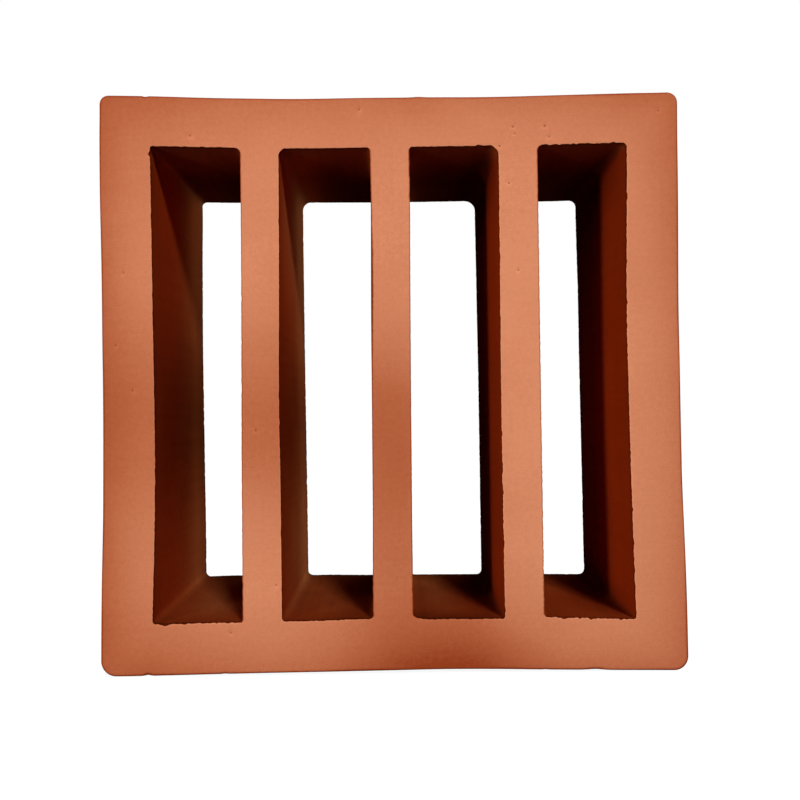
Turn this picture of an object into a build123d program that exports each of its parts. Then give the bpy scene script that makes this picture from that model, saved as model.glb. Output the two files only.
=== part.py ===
"""Terracotta breeze block: one piece of fired clay, a square frame with upright fins and open slots.

The clay is pushed through a die and cut off by a wire, so the block has one section all the way through.
Drying draws the middle of each outer side in, and the slots follow it, so the frame's wall stays even.
X runs across the block, Y from the front cut face to the back one, and Z up from the floor.
The origin is at the middle of the underside.
"""

from build123d import *
import os

# Driving dimensions, in millimetres
width = 200.0  # over the outer corners
height = 199.0  # over the outer corners
depth = 100.0  # from the front cut face to the back one
frame_wall = 17.4  # clay all round the slots
fin_width = 13.4  # each upright between two slots
fin_count = 3
side_bow = 1.05  # how far each outer side is drawn in at its middle
corner_radius = 4.0  # the outer corners of the section
slot_corner_radius = 2.4  # the corners of each slot
arris_radius = 1.2  # outer edges of the two cut faces, rubbed round by handling

# The fins stand at an even pitch, so that the slots come out equally wide
clear_width = width - 2 * frame_wall
fin_pitch = (clear_width + fin_width) / (fin_count + 1)

# The section stands on the floor and is seen from the front
section_plane = Plane(origin=(0, 0, height / 2), x_dir=(1, 0, 0), z_dir=(0, -1, 0))


def bowed_side_radius(half_side):
    """Radius of a side that is drawn in by side_bow and runs smoothly into both corner rounds."""
    reach = half_side - corner_radius
    return (reach**2 + side_bow**2) / (2 * side_bow) - corner_radius


# A quarter of the outline runs from the middle of the right side, round a corner, to the middle of the top
right_middle = Vector(width / 2 - side_bow, 0)
top_middle = Vector(0, height / 2 - side_bow)
corner_centre = Vector(width / 2 - corner_radius, height / 2 - corner_radius)
right_centre = right_middle + Vector(bowed_side_radius(height / 2), 0)
top_centre = top_middle + Vector(0, bowed_side_radius(width / 2))
right_end = corner_centre + (right_centre - corner_centre).normalized() * corner_radius
top_end = corner_centre + (top_centre - corner_centre).normalized() * corner_radius

with BuildPart() as breeze_block:
    # A solid bar of clay with the outer section, its two cut faces eased round the outside
    with BuildSketch(section_plane) as outline:
        with BuildLine():
            right_side = TangentArc(right_middle, right_end, tangent=(0, 1))
            corner = TangentArc(right_end, top_end, tangent=right_side % 1)
            TangentArc(top_end, top_middle, tangent=corner % 1)
            mirror(about=Plane.YZ)
            mirror(about=Plane.XZ)
        make_face()
    extrude(amount=depth / 2, both=True)
    cut_faces = breeze_block.faces().filter_by(Axis.Y)
    fillet(cut_faces.edges(), arris_radius)

    # The slots are the inside of the frame less the fins, with crisp edges where the wire cut them
    with BuildSketch(section_plane) as slots:
        offset(outline.sketch_local, amount=-frame_wall, kind=Kind.INTERSECTION)
        with GridLocations(fin_pitch, 0, fin_count, 1):
            Rectangle(fin_width, height, mode=Mode.SUBTRACT)
        fillet(slots.vertices(), slot_corner_radius)
    extrude(amount=depth, both=True, mode=Mode.SUBTRACT)

breeze_block.part.label = "breeze_block"

os.makedirs("parts", exist_ok=True)
export_step(breeze_block.part, "parts/breeze_block.step")
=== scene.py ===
"""Terracotta breeze block, dressed around its CAD frame.

The block is one piece of fired clay. Its section is drawn again here with the small faults of a real one:
drawn-in sides, uneven corner rounds, slot edges torn by the wire, nicks, pits and gently uneven cut faces.
Everything is in metres, in the frame's own axes: X across, Y from the front cut face to the back one, and
Z up from the floor.
"""

import math
import random

import bpy
import numpy as np
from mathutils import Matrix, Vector, noise
from mathutils.geometry import delaunay_2d_cdt
from mathutils.kdtree import KDTree


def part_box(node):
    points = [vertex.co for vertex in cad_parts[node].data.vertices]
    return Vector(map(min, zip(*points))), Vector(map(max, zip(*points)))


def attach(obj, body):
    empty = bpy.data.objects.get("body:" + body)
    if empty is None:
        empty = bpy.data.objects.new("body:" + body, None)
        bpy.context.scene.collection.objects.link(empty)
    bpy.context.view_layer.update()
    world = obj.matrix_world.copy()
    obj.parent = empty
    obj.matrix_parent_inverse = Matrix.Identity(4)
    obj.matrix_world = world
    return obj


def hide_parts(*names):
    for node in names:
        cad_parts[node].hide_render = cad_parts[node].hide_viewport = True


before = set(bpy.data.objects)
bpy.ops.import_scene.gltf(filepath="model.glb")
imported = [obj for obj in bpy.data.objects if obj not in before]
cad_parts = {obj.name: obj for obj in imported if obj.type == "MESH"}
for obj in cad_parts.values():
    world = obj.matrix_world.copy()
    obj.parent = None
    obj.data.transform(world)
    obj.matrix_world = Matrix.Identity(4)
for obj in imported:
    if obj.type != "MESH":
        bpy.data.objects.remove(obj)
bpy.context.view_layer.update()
MM = 0.001

# The block's outer sizes, from the frame
block_low, block_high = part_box("breeze_block")
WIDTH = block_high.x - block_low.x
DEPTH = block_high.y - block_low.y
HEIGHT = block_high.z - block_low.z

# The section, as in the solid but for its corner rounds
FRAME_WALL = 17.4 * MM
FIN_WIDTH = 13.4 * MM
FIN_COUNT = 3
SLOT_COUNT = FIN_COUNT + 1
SIDE_BOW = 1.05 * MM
CORNER_RADII = (5.4 * MM, 5.0 * MM, 3.7 * MM, 3.2 * MM)  # anticlockwise from the lower left
FRONT_SLOT_CORNERS = (  # one row a slot, the same way round
    (1.5 * MM, 0.8 * MM, 2.0 * MM, 0.9 * MM),
    (1.2 * MM, 1.6 * MM, 1.2 * MM, 2.8 * MM),
    (2.2 * MM, 0.7 * MM, 3.4 * MM, 1.4 * MM),
    (1.3 * MM, 0.8 * MM, 2.2 * MM, 2.0 * MM),
)
BACK_SLOT_CORNERS = (
    (2.4 * MM, 2.2 * MM, 2.4 * MM, 2.1 * MM),
    (2.1 * MM, 2.2 * MM, 2.4 * MM, 3.5 * MM),
    (2.2 * MM, 2.1 * MM, 4.2 * MM, 2.4 * MM),
    (2.2 * MM, 2.5 * MM, 3.2 * MM, 2.4 * MM),
)
CLEAR_WIDTH = WIDTH - 2 * FRAME_WALL
CLEAR_HEIGHT = HEIGHT - 2 * FRAME_WALL
FIN_PITCH = (CLEAR_WIDTH + FIN_WIDTH) / SLOT_COUNT
SLOT_WIDTH = FIN_PITCH - FIN_WIDTH
FIN_REACH = FIN_PITCH + FIN_WIDTH / 2  # to the far side of an outer fin

# Where drying has moved the clay: across, up, half width, half height, and how far it went across and up
SECTION_SHIFTS = (
    (-96 * MM, 194 * MM, 26 * MM, 30 * MM, 0.0, 0.62 * MM),
    (-100 * MM, 196 * MM, 5 * MM, 10 * MM, 0.25 * MM, 0.0),
    (-30 * MM, 190 * MM, 28 * MM, 24 * MM, 0.0, -0.42 * MM),
    (42 * MM, 196 * MM, 32 * MM, 16 * MM, 0.0, -0.42 * MM),
    (97 * MM, 199 * MM, 12 * MM, 14 * MM, 0.0, -0.35 * MM),
    (100 * MM, 160 * MM, 9 * MM, 26 * MM, 0.45 * MM, 0.0),
    (100 * MM, 95 * MM, 9 * MM, 40 * MM, 0.30 * MM, 0.0),
    (100 * MM, 24 * MM, 22 * MM, 30 * MM, 0.65 * MM, 0.0),
    (-100 * MM, 164 * MM, 9 * MM, 24 * MM, -0.24 * MM, 0.0),
    (-100 * MM, 68 * MM, 9 * MM, 38 * MM, 0.22 * MM, 0.0),
    (-82 * MM, 66 * MM, 9 * MM, 42 * MM, 0.75 * MM, 0.0),
    (82 * MM, 122 * MM, 9 * MM, 32 * MM, -0.40 * MM, 0.0),
    (-36 * MM, 96 * MM, 7 * MM, 36 * MM, -0.45 * MM, 0.0),
    (0.0, 165 * MM, 12 * MM, 30 * MM, 0.45 * MM, 0.0),
    (53 * MM, 17 * MM, 9 * MM, 8 * MM, 0.0, 0.45 * MM),
    (37 * MM, 90 * MM, 6 * MM, 55 * MM, -0.32 * MM, 0.0),
    (22 * MM, 0.0, 28 * MM, 14 * MM, 0.0, 0.40 * MM),
    (-51 * MM, 145 * MM, 6 * MM, 45 * MM, 0.28 * MM, 0.0),
    (7 * MM, 140 * MM, 5 * MM, 60 * MM, 0.20 * MM, 0.0),
    (-7 * MM, 28 * MM, 5 * MM, 22 * MM, -0.28 * MM, 0.0),
    (-12 * MM, 17 * MM, 9 * MM, 8 * MM, 0.0, 0.28 * MM),
    (63 * MM, 17 * MM, 8 * MM, 8 * MM, 0.0, 0.22 * MM),
    (-100 * MM, 0.0, 12 * MM, 12 * MM, 0.25 * MM, 0.25 * MM),
)
BACK_SLOT_SHIFTS = (  # the slots' own shifts at the back
    (-82 * MM, 15 * MM, 12 * MM, 45 * MM, 1.25 * MM, 0.0),
    (-82 * MM, 118 * MM, 12 * MM, 25 * MM, -0.3 * MM, 0.0),
    (-82 * MM, 178 * MM, 12 * MM, 16 * MM, 0.5 * MM, 0.0),
    (-72 * MM, 17 * MM, 26 * MM, 12 * MM, 0.0, 1.0 * MM),
    (-64 * MM, 182 * MM, 22 * MM, 12 * MM, 0.0, -0.2 * MM),
    (-35 * MM, 0.0, 8 * MM, 110 * MM, 1.25 * MM, 0.0),
    (-28 * MM, 17 * MM, 14 * MM, 12 * MM, 0.0, 0.35 * MM),
    (0.0, 182 * MM, 30 * MM, 12 * MM, 0.0, -0.25 * MM),
    (35 * MM, 190 * MM, 8 * MM, 75 * MM, -1.0 * MM, 0.0),
    (35 * MM, 60 * MM, 8 * MM, 60 * MM, -0.2 * MM, 0.0),
    (72 * MM, 182 * MM, 26 * MM, 12 * MM, 0.0, -1.05 * MM),
    (82 * MM, 185 * MM, 10 * MM, 32 * MM, -1.1 * MM, 0.0),
    (82 * MM, 65 * MM, 12 * MM, 45 * MM, 0.3 * MM, 0.0),
)

# How finely the surface is divided
OUTER_STEP = 0.8 * MM
SLOT_STEP = 0.37 * MM
FACE_STEP = 2.0 * MM
GUARD_GAP = 0.4 * MM  # a row of points just inside each edge keeps the cut face flat up to it
FACE_MARGIN = 0.9 * MM
JITTER_SHARE = 0.25
RUN_SPLIT = 4  # columns near an edge for each column further in
CORNER_STEPS = 24
INSIDE_WITH_HOLES = 2  # which triangles the filling of a cut face keeps
CLOSEST = 1e-9  # points nearer to each other than this count as one
FRONT_SEED = 11
BACK_SEED = 17
WAVE_SEED = 5
ROLL_SEED = 2

# Places down from a cut face where the walls have rows of points, after the edge's own round
OUTER_RIM = (2.6 * MM, 4.0 * MM)
SLOT_RIM = (0.7 * MM, 1.6 * MM, 3.2 * MM)
RUN = (8 * MM, 18 * MM, 32 * MM)

# Edges: a soft roll round the outside, and torn edges round the slots
OUTER_ROLL = 0.75 * MM
OUTER_ROLL_CHANGE = 0.35 * MM
OUTER_ROLL_SIZE = 22 * MM
OUTER_ROLL_ROWS = 5
SLOT_ROLL = 0.08 * MM
SLOT_ROLL_ROWS = 2
TOOTH_HEIGHT = 0.50 * MM
TOOTH_SIZE = 1.0 * MM
BITE_HEIGHT = 2.2 * MM
BITE_SIZE = 2.2 * MM
BITE_ONSET_SHARE = 0.3
TEAR_SIZE = 30 * MM
TEAR_EDGE_SHARE = 0.5
TEAR_LEAST_SHARE = 0.4
TEAR_DEPTH = 3.0 * MM
SIDE_POWER = 4  # how soon a side's share fades round its corners
FRONT_RAGGED_SHARES = (  # one row a slot: its left, right, top and bottom edges
    (0.4, 0.15, 0.6, 0.7),
    (0.3, 0.2, 0.4, 0.6),
    (0.2, 0.4, 0.4, 0.5),
    (0.3, 0.45, 0.7, 0.9),
)
BACK_RAGGED_SHARES = ((0.2, 0.2, 0.2, 0.2),) * SLOT_COUNT
FRONT_NICKS = (  # across, up, half width, half height, and depth, below 0 where clay stands proud
    (-83.9 * MM, HEIGHT, 0.6 * MM, 0.6 * MM, 0.5 * MM),
    (-83.7 * MM, 0.0, 1.1 * MM, 1.1 * MM, 0.7 * MM),
    (-57.5 * MM, 0.0, 0.9 * MM, 0.9 * MM, 0.4 * MM),
    (51.5 * MM, 0.0, 0.8 * MM, 0.8 * MM, 0.5 * MM),
    (68.5 * MM, 0.0, 3.0 * MM, 3.0 * MM, 0.5 * MM),
    (10.4 * MM, HEIGHT, 2.2 * MM, 2.2 * MM, -0.35 * MM),
    (-6.7 * MM, 132 * MM, 4.0 * MM, 26 * MM, 0.62 * MM),
    (-82.2 * MM, 178.9 * MM, 0.8 * MM, 0.7 * MM, 0.7 * MM),
    (8.0 * MM, 17.8 * MM, 1.5 * MM, 1.2 * MM, -0.5 * MM),
)

# The cut faces: a gentle unevenness, and pits where grit was dragged out
SWELL_HEIGHT = 0.10 * MM
SWELL_SIZE = 45 * MM
RIPPLE_HEIGHT = 0.02 * MM
RIPPLE_SIZE = 7 * MM
RELIEF_DEPTH = 5 * MM
WALL_WAVE_HEIGHT = 0.05 * MM
WALL_WAVE_SIZE = 35 * MM
PIT_DEPTH = 0.3 * MM
PIT_RING_POINTS = 8
PIT_CLEARANCE = 2  # how many radii the face's other points keep from a pit's middle
FRONT_PITS = (  # across, up and radius
    (43.0 * MM, 187.0 * MM, 0.44 * MM),
    (54.0 * MM, 187.2 * MM, 0.50 * MM),
    (55.4 * MM, 183.4 * MM, 0.32 * MM),
    (43.6 * MM, 184.6 * MM, 0.32 * MM),
    (93.3 * MM, 192.1 * MM, 0.40 * MM),
    (38.4 * MM, 180.4 * MM, 0.46 * MM),
    (41.3 * MM, 167.5 * MM, 0.42 * MM),
    (44.3 * MM, 137.3 * MM, 0.36 * MM),
    (-9.9 * MM, 193.5 * MM, 0.36 * MM),
    (-68.4 * MM, 185.1 * MM, 0.40 * MM),
    (-91.4 * MM, 137.8 * MM, 0.36 * MM),
    (-94.2 * MM, 113.0 * MM, 0.36 * MM),
    (-88.5 * MM, 97.5 * MM, 0.42 * MM),
    (-39.9 * MM, 30.7 * MM, 0.36 * MM),
    (-46.4 * MM, 83.3 * MM, 0.42 * MM),
    (-55.4 * MM, 14.6 * MM, 0.36 * MM),
)
BACK_PIT_RADII = (0.3 * MM, 0.5 * MM)  # the least and the most
BACK_PIT_COUNT = 18

# Shades of the clay's tone, and a lighter patch at the right that is painted light
FRONT_SHADES = (  # across, up, half width, half height, how much deeper, and how far in from the front
    (20 * MM, -2 * MM, 30 * MM, 29 * MM, 0.66, 15 * MM),
    (3 * MM, 64 * MM, 22 * MM, 46 * MM, 0.48, 600 * MM),
    (-45 * MM, 87 * MM, 52 * MM, 32 * MM, 0.51, 600 * MM),
    (-98 * MM, 87 * MM, 22 * MM, 26 * MM, 0.10, 600 * MM),
    (-85 * MM, 6 * MM, 22 * MM, 22 * MM, 0.22, 15 * MM),
    (-100 * MM, 38 * MM, 8 * MM, 26 * MM, 0.10, 15 * MM),
    (-85 * MM, 191 * MM, 20 * MM, 20 * MM, 0.18, 15 * MM),
    (-101 * MM, 150 * MM, 9 * MM, 45 * MM, 0.14, 15 * MM),
    (90 * MM, 190 * MM, 18 * MM, 18 * MM, 0.08, 15 * MM),
    (95 * MM, 8 * MM, 14 * MM, 16 * MM, 0.09, 15 * MM),
    # painted light: this lighter patch evens out the left lamp's falloff towards the right
    (68 * MM, 85 * MM, 45 * MM, 80 * MM, -0.10, 15 * MM),
    (93 * MM, 75 * MM, 12 * MM, 40 * MM, -0.06, 15 * MM),
)
EDGE_SHADE_SHARE = 0.50
EDGE_SHADE_SIZE = 13 * MM
OUTER_ROW_SHADE_SHARES = (0.10, 0.40, 0.80, 0.90, 0.60, 0.10, 0)  # the rows from the cut face's edge on
SLOT_EDGE_SHADE_SHARES = (  # one row a slot: its left, right, top and bottom edges
    (-0.15, 0.80, -0.10, -0.10),
    (-0.15, 0.80, -0.10, -0.10),
    (0.80, -0.15, -0.10, -0.10),
    (0.80, -0.15, -0.10, -0.10),
)
SLOT_ROW_SHADE_SHARES = (0.5, 0.5, 0.3, 0)  # the rows below a slot's edge

# Colours from the deepest tone to the palest: cut faces, the skin on the walls, deeper and redder with
# painted shade, and painted sheen on it
TONE_SHARES = (0.0, 0.45, 0.9, 1.0)
FACE_TONES = (
    (0.324, 0.052, 0.0135, 1),
    (0.508, 0.135, 0.0555, 1),
    (0.693, 0.245, 0.122, 1),
    (0.760, 0.285, 0.145, 1),
)
# painted shade: the walls' ramp is deeper and redder than the cut faces' partly to stand for the shade and
# bounced light in the slots
SKIN_AND_SHADE_TONES = (
    (0.10, 0.009, 0.001, 1),
    (0.27, 0.025, 0.0023, 1),
    (0.45, 0.043, 0.004, 1),
    (0.50, 0.048, 0.005, 1),
)
# painted sheen: paler, browner colours that stand for light from behind and a sheen on the walls
PAINTED_SHEEN_TONES = (
    (0.10, 0.025, 0.007, 1),
    (0.26, 0.070, 0.020, 1),
    (0.56, 0.165, 0.050, 1),
    (0.62, 0.185, 0.058, 1),
)
PIT_COLOUR = (0.12, 0.018, 0.006, 1)
PIT_SHADE_SHARE = 0.6
BASE_TONE_SHARE = 1.05
RAMP_SHARE = 0.9  # how far along the colour ramps a tone of 1 lies

# How much skin the outside and its edges have, and the painted sheen and painted shade in the slots
SIDE_SKIN_SHARE = 0.25
ARRIS_SKIN_SHARE = 0.35
WALL_SHARES = (  # the way a wall faces, its painted sheen at the front and the back, its painted shade and that shade's reach
    # painted sheen makes walls paler and browner where light from behind falls; painted shade deepens those
    # in the slots' shade
    ((1, 0), 0.12, 0.65, 0.0, (0.0, DEPTH)),
    ((-1, 0), 0.0, 0.50, 0.80, (36 * MM, 62 * MM)),
    ((0, 1), 0.25, 0.45, 0.40, (-DEPTH, 0.0)),
    ((0, -1), 0.60, 0.70, 0.80, (-10 * MM, 50 * MM)),
)
PAINTED_SHEEN_REACH = (30 * MM, 95 * MM)  # in from the front, from where the front's painted sheen ends to where the back's starts
WALL_PATCHES = (  # across, up, half width, half height, and how much more painted sheen and painted shade, which below 0 is painted light
    (-82 * MM, 82 * MM, 10 * MM, 40 * MM, 0.0, 0.32),
    (-82 * MM, 174 * MM, 8 * MM, 22 * MM, -0.05, -0.16),
    (-84 * MM, 181 * MM, 4 * MM, 4 * MM, 0.20, -0.50),
    (-72 * MM, 182 * MM, 9 * MM, 5 * MM, 0.15, -0.30),
    (-34 * MM, 182 * MM, 9 * MM, 5 * MM, 0.55, -0.75),
    (5 * MM, 182 * MM, 9 * MM, 5 * MM, 0.50, -0.75),
    (52 * MM, 182 * MM, 7 * MM, 5 * MM, 0.20, -0.30),
    (-38 * MM, 32 * MM, 6 * MM, 25 * MM, 0.30, 0.0),
    (-38 * MM, 70 * MM, 6 * MM, 45 * MM, 0.15, 0.08),
    (-38 * MM, 168 * MM, 6 * MM, 34 * MM, 0.60, -0.30),
    (37 * MM, 100 * MM, 6 * MM, 90 * MM, 0.0, 0.12),
    (37 * MM, 177 * MM, 7 * MM, 13 * MM, -0.30, 0.55),
    (82 * MM, 75 * MM, 8 * MM, 55 * MM, 0.0, -0.12),
    (82 * MM, 178 * MM, 7 * MM, 13 * MM, -0.30, 0.40),
    (-62 * MM, 17 * MM, 14 * MM, 6 * MM, 0.65, -0.12),
    (-55 * MM, 17 * MM, 9 * MM, 6 * MM, 0.0, 0.20),
    (-20 * MM, 17 * MM, 12 * MM, 6 * MM, 0.35, -0.15),
    (-10 * MM, 17 * MM, 9 * MM, 6 * MM, 0.0, 0.35),
    (16 * MM, 17 * MM, 9 * MM, 6 * MM, 0.35, -0.15),
    (34 * MM, 17 * MM, 9 * MM, 6 * MM, 0.0, 0.50),
    (79 * MM, 17 * MM, 9 * MM, 6 * MM, 0.0, 0.50),
)
PATCH_REACH = (-4 * MM, 34 * MM)  # in from the front, from a patch's start to where it is full

# The clay's texture: lumps to the metre, how much each changes the tone, and how deep each is
CLOUD_SCALE = 28.0
FRECKLE_SCALE = 600.0
SAND_SCALE = 1900.0
DRAG_SCALES = (70.0, 70.0, 800.0)
STREAK_SCALES = (420.0, 9.0, 420.0)
NOISE_DETAIL = 2.5
CLOUD_SHARE = 0.30
FRECKLE_SHARE = 0.20
SAND_SHARE = 0.28
DRAG_SHARE = 0.07
STREAK_SHARE = 0.15
SAND_HEIGHT = 0.010 * MM
FRECKLE_HEIGHT = 0.020 * MM
STREAK_HEIGHT = 0.10 * MM
ROUGHNESS = 0.76
ROUGHNESS_CHANGE = 0.16
SPECULAR_LEVEL = 0.0

# Camera and light
LENS_MM = 48.62
SENSOR_MM = 36.0
CAMERA_PLACE = (0.97 * MM, -419.96 * MM, 90.41 * MM)
CAMERA_TURN_DEGREES = (91.779, 0.646, -0.163)
CAMERA_SHIFT_SHARES = (0.0034, -0.0318)
CLIP_START = 10 * MM
LEVEL_TARGET = (0, -DEPTH / 2, HEIGHT / 2)
SOFT_BOXES = (  # name, place, width, height and level
    ("left_box", (-0.675, -1.11, 0.10), 0.12, 0.5, 0.60),
    ("high_box", (0.54, -2.05, 1.45), 0.32, 0.30, 0.575),
    ("back_box", (0.70, 1.05, 0.10), 0.8, 0.8, 0.36),
)
FLAT_LIGHTS = (  # name, the way towards the lamp, and level
    ("front_light", (0, -1, 0.004), 0.105),
    ("back_light", (0, 1, 0.004), 0.45),
    ("top_light", (0, 0, 1), 0.45),
    ("left_light", (-1, 0, 0), 0.35),
    ("right_light", (1, 0, 0), 0.35),
)
FLAT_LIGHT_SPREAD = 0.006
ROOM_LIGHT = 0.005
FLOOR_REACH = 6.0
FLOOR_WHITE = 0.925
FLOOR_SHADE = 0.18
FLOOR_BOUNCE = 0.03


def smooth_step(value, start, end):
    """0 up to start, 1 from end on, and an even S between them."""
    share = np.clip((value - start) / (end - start), 0, 1)
    return share * share * (3 - 2 * share)


def lumps(points, size, seed):
    """Smooth noise at section or space points, from about -1 to 1, with lumps of about that size."""
    shift = Vector((seed, -seed, seed / 2))
    return np.array([noise.noise(Vector(point).to_3d() / size + shift) for point in points])


# The section's outlines


def rounded_rectangle(left, bottom, right, top, radii):
    """Anticlockwise points on a rectangle's corner rounds, from the lower left one."""
    corners = ((left, bottom), (right, bottom), (right, top), (left, top))
    inward = ((1, 1), (-1, 1), (-1, -1), (1, -1))
    rounds = []
    for turn, (corner, way, radius) in enumerate(zip(corners, inward, radii)):
        angles = math.pi + (turn + np.linspace(0, 1, CORNER_STEPS)) * math.pi / 2
        centre = np.array(corner) + radius * np.array(way)
        rounds.append(centre + radius * np.column_stack([np.cos(angles), np.sin(angles)]))
    return np.vstack(rounds)


def evenly_spaced(points, width, height, step):
    """The closed outline through the points, divided evenly into about as many steps as its box has."""
    count = RUN_SPLIT * round(2 * (width + height) / step / RUN_SPLIT)
    closed = np.vstack([points, points[:1]])
    along = np.concatenate([[0], np.cumsum(np.hypot(*np.diff(closed, axis=0).T))])
    places = np.linspace(0, along[-1], count, endpoint=False)
    return np.column_stack([np.interp(places, along, closed[:, axis]) for axis in range(2)])


def nearness(across, up, place):
    """1 at the middle of a place, and less further from it than its half width and half height."""
    middle_across, middle_up, half_width, half_height = place
    return np.exp(-(((across - middle_across) / half_width) ** 2) - ((up - middle_up) / half_height) ** 2)


def dried(points, shifts):
    """The points where drying leaves them: sides drawn in, and the clay moved a little here and there."""
    across = points[:, 0]
    up = points[:, 1] - HEIGHT / 2
    side_bow = SIDE_BOW * (1 - (up / (HEIGHT / 2)) ** 2)
    end_bow = SIDE_BOW * (1 - (across / (WIDTH / 2)) ** 2)
    side = side_bow * smooth_step(abs(across), FIN_REACH, CLEAR_WIDTH / 2)
    end = end_bow * smooth_step(abs(up), CLEAR_HEIGHT / 4, CLEAR_HEIGHT / 2)
    moves = -np.column_stack([np.sign(across) * side, np.sign(up) * end])
    for *place, move_across, move_up in shifts:
        moves += nearness(*points.T, place)[:, None] * (move_across, move_up)
    return points + moves


def ways_out(points):
    """For each point of an outline, the direction that leaves the clay."""
    run = np.roll(points, -1, axis=0) - np.roll(points, 1, axis=0)
    run /= np.hypot(*run.T)[:, None]
    return np.column_stack([run[:, 1], -run[:, 0]])


def outer_outline():
    """The outside of the section, anticlockwise."""
    corners = rounded_rectangle(-WIDTH / 2, 0, WIDTH / 2, HEIGHT, CORNER_RADII)
    return dried(evenly_spaced(corners, WIDTH, HEIGHT, OUTER_STEP), SECTION_SHIFTS)


def slot_outline(index, radii, shifts):
    """One slot's outline, clockwise, so that the clay lies on the same hand as for the outside."""
    left = -CLEAR_WIDTH / 2 + index * FIN_PITCH
    corners = rounded_rectangle(left, FRAME_WALL, left + SLOT_WIDTH, HEIGHT - FRAME_WALL, radii)
    return dried(evenly_spaced(corners, SLOT_WIDTH, CLEAR_HEIGHT, SLOT_STEP)[::-1], shifts)


# Wear along the edges


def by_side(outline, shares):
    """A share for each point of a slot's outline, from those of its sides, and less round the corners."""
    left, right, top, bottom = shares
    across, up = ways_out(outline).T
    beside = np.where(across > 0, left, right) * across**SIDE_POWER
    return beside + np.where(up > 0, bottom, top) * up**SIDE_POWER


def torn_edge(outline, shares, seed):
    """How far the wire has torn the clay back at each point of a slot's edge."""
    teeth = TOOTH_HEIGHT * lumps(outline, TOOTH_SIZE, seed)
    bites = BITE_HEIGHT * np.maximum(lumps(outline, BITE_SIZE, seed) - BITE_ONSET_SHARE, 0)
    torn = smooth_step(lumps(outline, TEAR_SIZE, seed), -TEAR_EDGE_SHARE, TEAR_EDGE_SHARE)
    ragged = by_side(outline, shares) * (TEAR_LEAST_SHARE + (1 - TEAR_LEAST_SHARE) * torn)
    return ragged * (teeth + bites)


def nicked_edge(outline):
    """How far a front edge is knocked back at each point, with each nick a smooth dip."""
    return sum(depth * nearness(*outline.T, place) for *place, depth in FRONT_NICKS)


# The clay's surface, put together from rows of points


class Clay:
    """Points, faces and per-point shades of the block's surface."""

    def __init__(self):
        self.points = []
        self.skins = []
        self.shades = []
        self.pits = []
        self.faces = []

    def add(self, points, skin, shade, pitted=0.0):
        """Adds points with this much skin, shade and pit, and gives their numbers."""
        first = len(self.points)
        self.points.extend(points)
        for kept, value in ((self.skins, skin), (self.shades, shade), (self.pits, pitted)):
            kept.extend(np.broadcast_to(value, len(points)))
        return np.arange(first, len(self.points))

    def strip(self, row, next_row):
        """A band of four-sided faces between two rows of as many points."""
        corners = (row, next_row, np.roll(next_row, -1), np.roll(row, -1))
        self.faces.extend(np.column_stack(corners).tolist())

    def widening(self, fine, coarse, to_coarse):
        """A band of triangles between a fine row and one with RUN_SPLIT times fewer points."""
        half = RUN_SPLIT // 2
        for place, number in enumerate(coarse):
            following = coarse[(place + 1) % len(coarse)]
            near = [fine[(place * RUN_SPLIT + step) % len(fine)] for step in range(RUN_SPLIT + 1)]
            triangles = [(near[step], number, near[step + 1]) for step in range(half)]
            triangles.append((near[half], number, following))
            triangles += [(near[step], following, near[step + 1]) for step in range(half, RUN_SPLIT)]
            self.faces.extend(triangles if to_coarse else [triangle[::-1] for triangle in triangles])


def relief(points, side):
    """How far the clay of a cut face lies back from its flat, away from the pits."""
    seed = FRONT_SEED if side < 0 else BACK_SEED
    return SWELL_HEIGHT * lumps(points, SWELL_SIZE, seed) + RIPPLE_HEIGHT * lumps(points, RIPPLE_SIZE, seed)


def in_space(section, down, side):
    """Section points at these depths below the front (side -1) or back (side 1) cut face, in space."""
    fade = np.clip(1 - down / RELIEF_DEPTH, 0, 1)
    place_in_depth = side * (DEPTH / 2 - down - fade * relief(section, side))
    return np.column_stack([section[:, 0], place_in_depth, section[:, 1]])


def between(near, far, down):
    """The section at these depths below one cut face, between that face's outline and the other's."""
    return near + (far - near) * (down / DEPTH)[:, None]


def wavy(points, out):
    """Wall points pushed in and out a little, as the die left them."""
    wave = WALL_WAVE_HEIGHT * lumps(points, WALL_WAVE_SIZE, WAVE_SEED)
    return points + np.column_stack([out[:, 0] * wave, 0 * wave, out[:, 1] * wave])


def edge_rows(near, far, roll, roll_rows, rim, torn, side):
    """Rows of points from a cut face's edge, round its roll and down its rim."""
    turns = np.linspace(0, math.pi / 2, roll_rows)
    rows = [(roll * (1 - math.sin(turn)), roll * (1 - math.cos(turn))) for turn in turns]
    rows += [(0 * roll, depth + 0 * roll) for depth in rim]
    out = ways_out(near)
    made = []
    for inset, down in rows:
        inset = inset + torn * np.clip(1 - down / TEAR_DEPTH, 0, 1) ** 2
        made.append(wavy(in_space(between(near, far, down) - out * inset[:, None], down, side), out))
    return made


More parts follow.
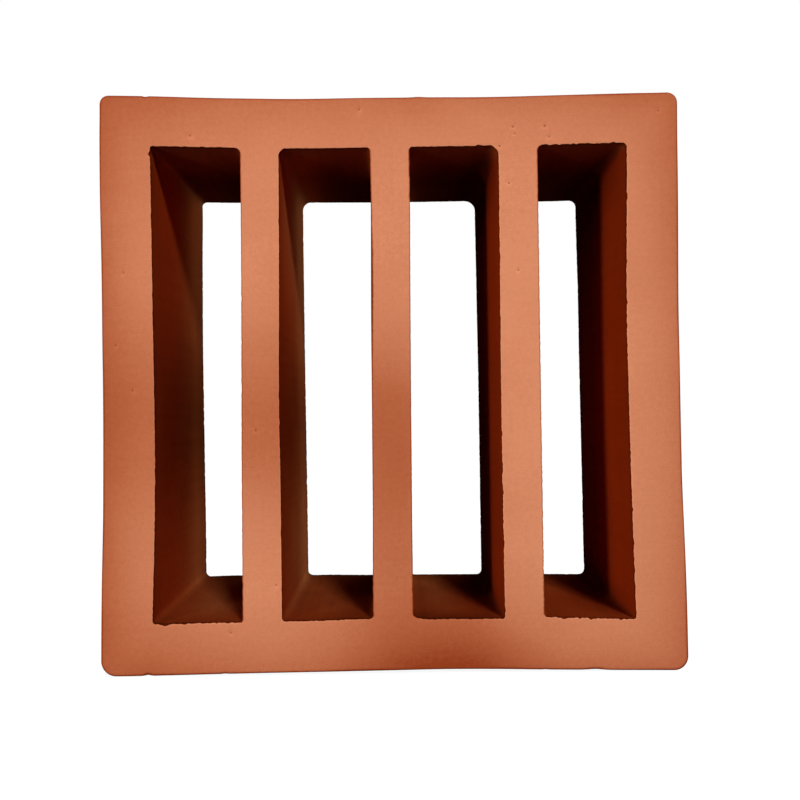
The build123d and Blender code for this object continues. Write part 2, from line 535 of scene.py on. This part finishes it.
def wall(clay, outlines, skin, arris_skin, shades, roll, roll_rows, rim, torn):
    """The wall between a front and a back outline. Gives its two edge rows."""
    front_outline, back_outline = outlines
    front = edge_rows(front_outline, back_outline, roll, roll_rows, rim, torn[0], -1)
    back = edge_rows(back_outline, front_outline, roll, roll_rows, rim, torn[1], 1)
    skins = [*np.linspace(0, arris_skin, roll_rows), *[skin] * len(rim)]
    depths = [*RUN, DEPTH / 2, *(DEPTH - depth for depth in reversed(RUN))]
    run = []
    for depth in depths:
        down = np.full(len(front_outline) // RUN_SPLIT, depth)
        sparse = between(front_outline[::RUN_SPLIT], back_outline[::RUN_SPLIT], down)
        run.append(wavy(in_space(sparse, down, -1), ways_out(sparse)))
    front_rows = [clay.add(*row) for row in zip(front, skins, shades)]
    run_rows = [clay.add(points, skin, 0.0) for points in run]
    back_rows = [clay.add(*row) for row in zip(back, skins, shades)][::-1]
    for rows in (front_rows, run_rows, back_rows):
        for row, next_row in zip(rows, rows[1:]):
            clay.strip(row, next_row)
    clay.widening(front_rows[-1], run_rows[0], True)
    clay.widening(back_rows[0], run_rows[-1], False)
    return front_rows[0], back_rows[-1]


def pit_gaps(points, pits):
    """How many of its radii each section point is from the nearest pit."""
    return np.array([np.hypot(*(points - place).T) / radius for *place, radius in pits]).min(axis=0)


def pit_points(pits):
    """Section points on and inside each pit: its middle and two rings."""
    angles = np.linspace(0, 2 * math.pi, PIT_RING_POINTS, endpoint=False)
    ring = np.column_stack([np.cos(angles), np.sin(angles)])
    rings = np.vstack([np.zeros((1, 2)), ring / 2, ring])
    return np.vstack([place + radius * rings for *place, radius in pits])


def face_grid(edges, outs, chance):
    """Points over the cut face, a little off a grid, that keep clear of its edges."""
    tree = KDTree(len(edges))
    for number, point in enumerate(edges):
        tree.insert(Vector(point).to_3d(), number)
    tree.balance()
    kept = []
    row_gap = FACE_STEP * math.sqrt(3) / 2
    for row in range(round(HEIGHT / row_gap)):
        for column in range(round(WIDTH / FACE_STEP)):
            across = -WIDTH / 2 + (column + row % 2 / 2) * FACE_STEP
            place = np.array((across, row * row_gap))
            place += [chance.uniform(-JITTER_SHARE, JITTER_SHARE) * FACE_STEP for axis in range(2)]
            number = tree.find(Vector(place).to_3d())[1]
            if (edges[number] - place) @ outs[number] > FACE_MARGIN:
                kept.append(place)
    return np.array(kept)


def cut_face(clay, rows, pits, side):
    """Fills one cut face between its edge rows, with these pits, or with pits here and there if none."""
    chance = random.Random(side)
    loops = [np.array([clay.points[number] for number in row])[:, [0, 2]] for row in rows]
    edges = np.vstack(loops)
    outs = np.vstack([ways_out(loop) for loop in loops])
    grid = face_grid(edges, outs, chance)
    if not pits:
        places = chance.sample(list(grid), BACK_PIT_COUNT)
        pits = [(*place, chance.uniform(*BACK_PIT_RADII)) for place in places]
    grid = grid[pit_gaps(grid, pits) > PIT_CLEARANCE]
    inner = np.vstack([edges - GUARD_GAP * outs, grid, pit_points(pits)])
    pitted = np.clip(1 - pit_gaps(inner, pits) ** 2, 0, 1)
    added = clay.add(in_space(inner, PIT_DEPTH * pitted, side), 0.0, 0.0, pitted)
    numbers = np.concatenate([*rows, added])
    starts = np.cumsum([0] + [len(loop) for loop in loops])
    borders = [list(range(start, start + len(loop))) for start, loop in zip(starts, loops)]
    flat = [Vector(point) for point in np.vstack([edges, inner])]
    made = delaunay_2d_cdt(flat, [], borders, INSIDE_WITH_HOLES, CLOSEST)
    triangles, sources = made[2], made[3]
    for triangle in triangles:
        corners = [numbers[sources[corner][0]] for corner in triangle]
        clay.faces.append(corners if side < 0 else corners[::-1])


def edge_and_patch_shades(points):
    """How much deeper the clay's tone is: towards the block's edges, and in the front's patches, where the
    lighter one at the right is painted light.
    """
    across, depth, up = points.T
    side_nearness = np.exp((abs(across) - WIDTH / 2) / EDGE_SHADE_SIZE)
    end_nearness = np.exp((abs(up - HEIGHT / 2) - HEIGHT / 2) / EDGE_SHADE_SIZE)
    shade = EDGE_SHADE_SHARE * np.sqrt(np.hypot(side_nearness**2, end_nearness**2))
    for *place, share, reach in FRONT_SHADES:
        fade = np.clip(1 - (depth + DEPTH / 2) / reach, 0, 1)
        shade = shade + share * fade * nearness(across, up, place)
    return shade


def painted_light_on_walls(points, normals, skins):
    """How much painted sheen the walls have, and how much deeper painted shade makes them."""
    across, depth, up = points.T
    depth = depth + DEPTH / 2
    painted_sheen = 0
    painted_shade = 0
    for way, front_sheen, back_sheen, most_shade, shade_reach in WALL_SHARES:
        facing = np.clip(normals[:, [0, 2]] @ way, 0, 1)
        painted_sheen = painted_sheen + facing * (front_sheen + (back_sheen - front_sheen) * smooth_step(depth, *PAINTED_SHEEN_REACH))
        painted_shade = painted_shade + facing * most_shade * smooth_step(depth, *shade_reach)
    for *place, more_sheen, more_shade in WALL_PATCHES:
        near = nearness(across, up, place) * smooth_step(depth, *PATCH_REACH)
        painted_sheen = painted_sheen + more_sheen * near
        painted_shade = painted_shade + more_shade * near
    return skins * painted_sheen, skins * painted_shade


def block_piece():
    """The block as one object, with the shades, painted sheen and painted shade that its material reads."""
    clay = Clay()
    outside = outer_outline()
    roll = OUTER_ROLL + OUTER_ROLL_CHANGE * lumps(outside, OUTER_ROLL_SIZE, ROLL_SEED)
    nicked = nicked_edge(outside)
    shown = (SIDE_SKIN_SHARE, ARRIS_SKIN_SHARE, OUTER_ROW_SHADE_SHARES)
    edges = [wall(clay, [outside] * 2, *shown, roll, OUTER_ROLL_ROWS, OUTER_RIM, (nicked, 0 * nicked))]
    for index in range(SLOT_COUNT):
        front = slot_outline(index, FRONT_SLOT_CORNERS[index], SECTION_SHIFTS)
        back = slot_outline(index, BACK_SLOT_CORNERS[index], BACK_SLOT_SHIFTS)
        roll = np.full(len(front), SLOT_ROLL)
        torn_front = torn_edge(front, FRONT_RAGGED_SHARES[index], FRONT_SEED) + nicked_edge(front)
        torn_back = torn_edge(back, BACK_RAGGED_SHARES[index], BACK_SEED)
        torn = (torn_front, torn_back)
        shown = (1.0, 1.0, (by_side(front, SLOT_EDGE_SHADE_SHARES[index]), *SLOT_ROW_SHADE_SHARES))
        edges.append(wall(clay, (front, back), *shown, roll, SLOT_ROLL_ROWS, SLOT_RIM, torn))
    front_edges, back_edges = zip(*edges)
    cut_face(clay, front_edges, FRONT_PITS, -1)
    cut_face(clay, back_edges, None, 1)
    mesh = bpy.data.meshes.new("breeze_block_clay")
    mesh.from_pydata([tuple(point) for point in clay.points], [], clay.faces)
    mesh.shade_smooth()
    points = np.array(clay.points)
    normals = np.array([vertex.normal for vertex in mesh.vertices])
    # painted sheen and painted shade on the slot walls
    painted_sheen, painted_shade = painted_light_on_walls(points, normals, np.array(clay.skins))
    shades = edge_and_patch_shades(points) + clay.shades + painted_shade
    for name, numbers in {"skin": clay.skins, "pit": clay.pits, "shade": shades, "painted_sheen": painted_sheen}.items():
        values = mesh.attributes.new(name, "FLOAT", "POINT").data
        values.foreach_set("value", np.array(numbers, np.float32))
    block = bpy.data.objects.new("breeze_block_clay", mesh)
    bpy.context.scene.collection.objects.link(block)
    return block


# Material


def new_node(tree, kind, inputs, **settings):
    """A shader node with its settings, and its inputs set to values or linked from sockets."""
    made = tree.nodes.new(kind)
    for name, value in settings.items():
        setattr(made, name, value)
    for name, value in inputs.items():
        if isinstance(value, bpy.types.NodeSocket):
            tree.links.new(value, made.inputs[name])
        else:
            made.inputs[name].default_value = value
    return made


def texture_noise(tree, place, scales):
    """Grey noise around 0.5 over the clay, with this many lumps to the metre each way."""
    mapped = new_node(tree, "ShaderNodeMapping", {"Vector": place, "Scale": scales}).outputs[0]
    inputs = {"Vector": mapped, "Scale": 1.0, "Detail": NOISE_DETAIL}
    return new_node(tree, "ShaderNodeTexNoise", inputs).outputs["Fac"]


def tone_ramp(tree, tone, colours):
    """The colour at a tone, between these colours from the deepest to the palest."""
    made = new_node(tree, "ShaderNodeValToRGB", {"Fac": tone})
    stops = made.color_ramp.elements
    for share in TONE_SHARES[1:-1]:
        stops.new(share)
    for stop, share, colour in zip(stops, TONE_SHARES, colours):
        stop.position = share
        stop.color = colour
    return made.outputs["Color"]


def point_value(tree, name):
    """A value that the mesh carries at each point."""
    return new_node(tree, "ShaderNodeAttribute", {}, attribute_name=name).outputs["Fac"]


def weighted_sum(tree, start, terms):
    """A start value plus each socket times its weight."""
    total = start
    for socket, weight in terms:
        added = new_node(tree, "ShaderNodeMath", {0: socket, 1: weight, 2: total}, operation="MULTIPLY_ADD")
        total = added.outputs[0]
    return total


def mixed(tree, share, first, second):
    """A colour between two colours."""
    inputs = {"Factor": share, 6: first, 7: second}
    return new_node(tree, "ShaderNodeMix", inputs, data_type="RGBA").outputs[2]


def terracotta():
    """Matt fired clay: cloudy orange cut faces, a deeper skin on the walls that is partly painted shade,
    painted sheen on them, and fine sand all over.
    """
    material = bpy.data.materials.new("terracotta")
    material.use_nodes = True
    tree = material.node_tree
    shader = tree.nodes["Principled BSDF"]
    place = new_node(tree, "ShaderNodeTexCoord", {}).outputs["Object"]
    clouds = texture_noise(tree, place, (CLOUD_SCALE,) * 3)
    freckles = texture_noise(tree, place, (FRECKLE_SCALE,) * 3)
    sand = texture_noise(tree, place, (SAND_SCALE,) * 3)
    drags = texture_noise(tree, place, DRAG_SCALES)
    streaks = texture_noise(tree, place, STREAK_SCALES)
    skin = point_value(tree, "skin")
    shade = point_value(tree, "shade")
    inputs = {0: skin, 1: 1 / SIDE_SKIN_SHARE}
    on_walls = new_node(tree, "ShaderNodeMath", inputs, operation="MULTIPLY", use_clamp=True).outputs[0]
    drag_tone = weighted_sum(tree, -DRAG_SHARE / 2, ((drags, DRAG_SHARE),))
    streak_tone = weighted_sum(tree, -STREAK_SHARE / 2, ((streaks, STREAK_SHARE),))
    lines = new_node(tree, "ShaderNodeMix", {"Factor": on_walls, 2: drag_tone, 3: streak_tone}).outputs[0]
    weights = ((clouds, CLOUD_SHARE), (freckles, FRECKLE_SHARE), (sand, SAND_SHARE))
    start = BASE_TONE_SHARE - sum(weight for socket, weight in weights) / 2
    tone = weighted_sum(tree, start, (*weights, (lines, 1.0), (shade, -1.0)))
    tone = weighted_sum(tree, 0.0, ((tone, RAMP_SHARE),))
    face = tone_ramp(tree, tone, FACE_TONES)
    walls = tone_ramp(tree, tone, SKIN_AND_SHADE_TONES)
    sheen_colour = tone_ramp(tree, tone, PAINTED_SHEEN_TONES)
    colour = mixed(tree, skin, face, walls)
    # painted sheen: a paler, browner colour mixed in on the walls
    colour = mixed(tree, point_value(tree, "painted_sheen"), colour, sheen_colour)
    pit = weighted_sum(tree, 0.0, ((point_value(tree, "pit"), PIT_SHADE_SHARE),))
    colour = mixed(tree, pit, colour, PIT_COLOUR)
    tree.links.new(colour, shader.inputs["Base Color"])
    rough = weighted_sum(tree, ROUGHNESS, ((freckles, ROUGHNESS_CHANGE),))
    tree.links.new(rough, shader.inputs["Roughness"])
    shader.inputs["Specular IOR Level"].default_value = SPECULAR_LEVEL
    grit = weighted_sum(tree, 0.0, ((sand, SAND_HEIGHT), (freckles, FRECKLE_HEIGHT)))
    drawn_height = weighted_sum(tree, 0.0, ((streaks, STREAK_HEIGHT),))
    height = new_node(tree, "ShaderNodeMix", {"Factor": on_walls, 2: grit, 3: drawn_height}).outputs[0]
    bump = new_node(tree, "ShaderNodeBump", {"Height": height, "Distance": 1.0, "Strength": 1.0})
    tree.links.new(bump.outputs[0], shader.inputs["Normal"])
    return material


# Stage


def seen_directly(tree):
    """1 for the rays that show a surface itself: from the camera, in a reflection or through glass."""
    path = new_node(tree, "ShaderNodeLightPath", {}).outputs
    inputs = {0: path["Is Camera Ray"], 1: path["Is Glossy Ray"]}
    either = new_node(tree, "ShaderNodeMath", inputs, operation="MAXIMUM").outputs[0]
    inputs = {0: either, 1: path["Is Transmission Ray"]}
    return new_node(tree, "ShaderNodeMath", inputs, operation="MAXIMUM").outputs[0]


def white_room():
    """A world that looks white and gives only a faint light."""
    world = bpy.data.worlds.new("white_room")
    bpy.context.scene.world = world
    world.use_nodes = True
    tree = world.node_tree
    strength = weighted_sum(tree, ROOM_LIGHT, ((seen_directly(tree), 1 - ROOM_LIGHT),))
    tree.nodes["Background"].inputs["Color"].default_value = (1, 1, 1, 1)
    tree.links.new(strength, tree.nodes["Background"].inputs["Strength"])


def pale_floor():
    """A floor that looks white where it is lit and keeps the block's shadow."""
    corners = [(x * FLOOR_REACH, y * FLOOR_REACH, 0) for x, y in ((-1, -1), (1, -1), (1, 1), (-1, 1))]
    mesh = bpy.data.meshes.new("floor")
    mesh.from_pydata(corners, [], [(0, 1, 2, 3)])
    floor = bpy.data.objects.new("floor", mesh)
    bpy.context.scene.collection.objects.link(floor)
    material = bpy.data.materials.new("pale_floor")
    material.use_nodes = True
    tree = material.node_tree
    tree.nodes.clear()
    glow = new_node(tree, "ShaderNodeEmission", {"Color": (1, 1, 1, 1), "Strength": FLOOR_WHITE}).outputs[0]
    shadow = new_node(tree, "ShaderNodeBsdfDiffuse", {"Color": (FLOOR_SHADE,) * 3 + (1,)}).outputs[0]
    dim = new_node(tree, "ShaderNodeBsdfDiffuse", {"Color": (FLOOR_BOUNCE,) * 3 + (1,)}).outputs[0]
    shown = new_node(tree, "ShaderNodeAddShader", {0: glow, 1: shadow}).outputs[0]
    surface = new_node(tree, "ShaderNodeMixShader", {0: seen_directly(tree), 1: dim, 2: shown}).outputs[0]
    new_node(tree, "ShaderNodeOutputMaterial", {"Surface": surface})
    mesh.materials.append(material)


def add_lamp(name, kind, place, target, energy, **settings):
    """A lamp at a place, turned to a target."""
    lamp = bpy.data.lights.new(name, kind)
    lamp.energy = energy
    for setting, value in settings.items():
        setattr(lamp, setting, value)
    holder = bpy.data.objects.new(name, lamp)
    holder.location = place
    holder.rotation_euler = (Vector(target) - Vector(place)).to_track_quat("-Z", "Y").to_euler()
    bpy.context.scene.collection.objects.link(holder)


def soft_box(name, place, width, height, level):
    """A rectangular lamp. A level of 1 lights white paint that faces it at the block to full white."""
    away = (Vector(LEVEL_TARGET) - Vector(place)).length
    energy = math.pi**2 * level * away**2
    add_lamp(name, "AREA", place, LEVEL_TARGET, energy, shape="RECTANGLE", size=width, size_y=height)


def flat_light(name, way, level):
    """An even light from one way, that leaves the walls along it dark."""
    middle = Vector(LEVEL_TARGET)
    add_lamp(name, "SUN", middle + Vector(way), middle, math.pi * level, angle=FLAT_LIGHT_SPREAD)


def studio():
    """The lamps in front of the block and behind it, and even light from five sides."""
    for name, place, width, height, level in SOFT_BOXES:
        soft_box(name, place, width, height, level)
    for name, way, level in FLAT_LIGHTS:
        flat_light(name, way, level)


def camera():
    """The photograph's viewpoint."""
    data = bpy.data.cameras.new("camera")
    data.sensor_width = SENSOR_MM
    data.lens = LENS_MM
    data.shift_x, data.shift_y = CAMERA_SHIFT_SHARES
    data.clip_start = CLIP_START
    holder = bpy.data.objects.new("camera", data)
    holder.location = CAMERA_PLACE
    holder.rotation_euler = [math.radians(turn) for turn in CAMERA_TURN_DEGREES]
    bpy.context.scene.collection.objects.link(holder)
    bpy.context.scene.camera = holder


block = block_piece()
block.data.materials.append(terracotta())
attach(block, "root")
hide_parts("breeze_block")
white_room()
pale_floor()
studio()
camera()
bpy.context.scene.view_settings.view_transform = "Standard"
